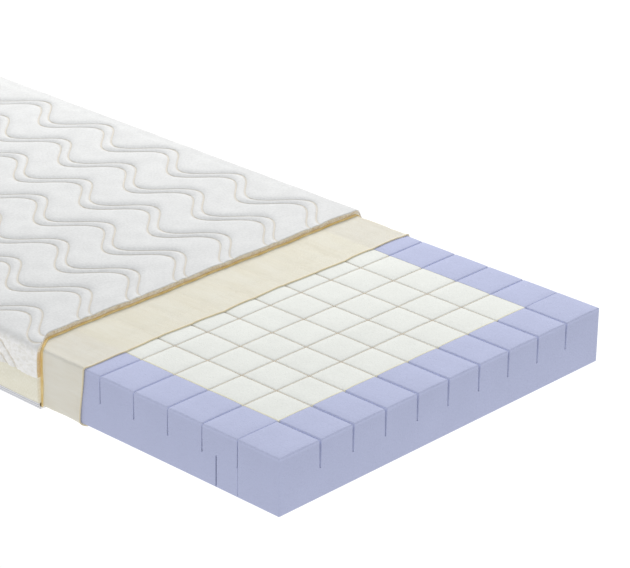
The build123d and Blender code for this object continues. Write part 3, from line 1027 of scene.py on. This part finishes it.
side_heights = np.linspace(border_low.z, border_high.z, 12)
head_heights = np.sort([*side_heights, zip_low.z - 0.0003, zip_low.z + 0.0003])
front_line = np.linspace(outer_front - skirt_forward, seat_middle, 60)
for side, name in ((-1, "right"), (1, "left")):
    line = np.column_stack([0 * front_line + side * flat_half, front_line])
    out = np.repeat([[float(side), 0.0]], len(line), axis=0)
    outer, inner, flat = band_grid(line, out, side_heights)
    made = shell(f"border_front_{name}", outer, inner, flat)
    made.data.materials.append(border_knit)
    if side < 0:
        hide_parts("cover_border_thigh", "cover_border_seat")
    bend_between(made)
line, out = side_line(seat_middle, 0.0095)
outer, inner, flat = band_grid(line, out, head_heights)
made = shell("border_head", outer, inner, flat)
made.data.materials.append(border_knit)
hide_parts("cover_border_back")
bend_between(made)

# --------------------------------------------------
# Base: a grey-white knit under the whole cover, heavier than the face, with cords knitted in along
# the bed. It turns up at its edges and is sewn to the foot of the border.

base_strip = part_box("cover_base_seat")[1].z
base_edge = 0.008
base_wall = 0.004
bend_length = base_edge * math.pi / 2  # of cloth, round the edge
base_turn = bend_length + base_strip - base_edge  # of cloth, up to the seam


def tray(across, along, out, floor_z, edge):
    """The underside of the cover, for a place on the flat cloth: flat, then turned up through a
    quarter circle of radius edge, out from the core by out, and straight up to the seam."""
    beyond, turn = past_edges(across, along)
    lean = np.pi / 2 * np.clip(beyond / bend_length, 0, 1)
    level = core_edge + out - edge
    reach = level * np.clip(beyond / 0.002, 0, 1) + edge * np.sin(lean)
    wall = np.clip((beyond - bend_length) / (base_turn - bend_length), 0, 1)
    x = np.clip(across, -flat_half, flat_half) + np.sign(across) * reach * np.cos(turn)
    y = np.minimum(along, flat_end) + reach * np.sin(turn)
    z = floor_z + edge * (1 - np.cos(lean)) + (base_strip - floor_z - edge) * wall
    return np.stack([x, y, z], axis=-1)


def base_paint(start):
    """Grey-white knit with cords along the bed, four millimetres apart, and a fine grain."""
    cloth, across, along = start.cloth()
    cords = abs(across.waves(0.0084))
    stitches = along.waves(0.0026)
    grain = start.noise(cloth, 420, 3)
    tint = (cords * 0.7 + grain * 0.4).ramp(0.2, 0.9).mix(srgb(204, 205, 212), srgb(240, 241, 245))
    relief = cords * 1.2 + stitches * 0.15 + grain * 0.5
    return painted(tint, 0.85, gloss=0.2, relief=(relief, 0.0008))


base_knit = material("base_knit", base_paint)
for part, (start, end, pair, lengths) in cover_parts.items():
    last = flat_end + base_turn if end is None else end
    turn = np.concatenate([[0.002], np.linspace(0.004, bend_length, 7), [base_turn]])
    flat_places = np.linspace(-flat_half, flat_half, 50)
    places = np.concatenate([-(flat_half + turn)[::-1], flat_places, flat_half + turn])
    begin = start - skirt_forward if part == "front" else start
    stop = flat_end if end is None else last
    rows = np.linspace(begin, stop, int((stop - begin) / 0.010) + 1)
    if end is None:
        rows = np.concatenate([rows, flat_end + turn])
    across, along = np.meshgrid(places, rows)
    outside = border_out - 0.0004
    outer = tray(across, along, outside, 0.0, base_edge)
    inner = tray(across, along, outside - base_wall, base_top, base_edge - base_wall)
    made = shell(f"cover_base_{part}_knit", outer, inner, np.stack([across, along], axis=-1))
    made.data.materials.append(base_knit)
    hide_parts(*[f"cover_base_{length}" for length in lengths])
    bend_between(made)

# --------------------------------------------------
# Zip: two woven tapes sewn into the stepped border at the head end, each with a moulded coil along
# its edge, metal stops, and a nickel slider with a flat pull.


def tape_paint(start):
    """Twill tape: slanting threads and a fine grain."""
    place, x, y, z = start.place()
    twill = (x + z).waves(0.0011)
    grain = start.noise(place, 700, 2)
    tint = (twill * 0.2 + grain).ramp(0.3, 0.8).mix(srgb(232, 230, 221), srgb(250, 249, 244))
    return painted(tint, 0.8, relief=(twill * 0.5 + grain * 0.4, 0.0003))


tape_cloth = material("tape_cloth", tape_paint)
for level in ("upper", "lower"):
    low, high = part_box(f"zip_tape_{level}")
    x, z = np.meshgrid(np.linspace(low.x, high.x, 260), np.linspace(low.z, high.z, 6))
    wave = 0.00015 * np.sin(130 * x + 300 * z)
    middle = (low.y + high.y) / 2
    half = (high.y - low.y) / 2
    faces = [np.stack([x, middle + turn + wave, z], axis=-1) for turn in (half, -half)]
    made = shell(f"zip_tape_{level}_weave", *faces, np.stack([x, z], axis=-1))
    made.data.materials.append(tape_cloth)
    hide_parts(f"zip_tape_{level}")
    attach(made, "back")


def coil_paint(start):
    """Moulded nylon: even colour with a soft shine and a faint grain."""
    place, x, y, z = start.place()
    grain = start.noise(place, 900, 2)
    tint = grain.mix(srgb(206, 203, 192), srgb(226, 224, 214))
    return painted(tint, grain * 0.15 + 0.32, relief=(grain, 0.0001))


nylon = material("zip_nylon", coil_paint)
coil_pitch = 0.0026
wire_radius = 0.00050
turn_points = 9
wire_points = 5
for level, direction in (("upper", 1), ("lower", -1)):
    low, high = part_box(f"zip_teeth_{level}")
    turns = int((high.x - low.x - 2 * wire_radius) / coil_pitch)
    turn = np.linspace(0, 2 * np.pi, turn_points)[:-1]
    ring = np.arange(turns * len(turn))
    angle = ring * (2 * np.pi / len(turn))
    centre_y, centre_z = (low.y + high.y) / 2, (low.z + high.z) / 2
    reach_y = (high.y - low.y) / 2 - wire_radius
    reach_z = (high.z - low.z) / 2 - wire_radius
    run = low.x + wire_radius + coil_pitch * ring / len(turn)
    drawn_z = centre_z + direction * reach_z * np.cos(angle)
    line = np.column_stack([run, centre_y + reach_y * np.sin(angle), drawn_z])
    outward = np.column_stack([0 * angle, np.sin(angle), direction * np.cos(angle)])
    sideways = np.array([[1.0, 0.0, 0.0]])
    round_wire = np.linspace(0, 2 * np.pi, wire_points + 1)[:-1]
    rings = line[:, None, :] + wire_radius * (
        np.cos(round_wire)[None, :, None] * outward[:, None, :]
        + np.sin(round_wire)[None, :, None] * sideways[:, None, :]
    )
    quads, ends = ring_faces(len(rings), wire_points)
    made = make_piece(f"zip_coil_{level}", rings.reshape(-1, 3), quads, ends, crease=80)
    made.data.materials.append(nylon)
    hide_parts(f"zip_teeth_{level}")
    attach(made, "back")


def nickel_paint(start):
    """Tumbled nickel plate: fine scratches all ways and slightly cloudy."""
    place, x, y, z = start.place()
    cloud = start.noise(place, 500, 3)
    scratch = start.noise(place, 1400, 2, stretch=(0.1, 1, 1))
    tint = cloud.mix(srgb(176, 176, 178), srgb(206, 206, 208))
    return painted(tint, cloud * 0.2 + 0.22, relief=(scratch, 0.00006)) | {"Metallic": 1.0}


nickel = material("nickel", nickel_paint)
for name in ("zip_stops", "zip_slider", "zip_pull"):
    part = frame["nodes"][name]
    part.data.materials.clear()
    part.data.materials.append(nickel)
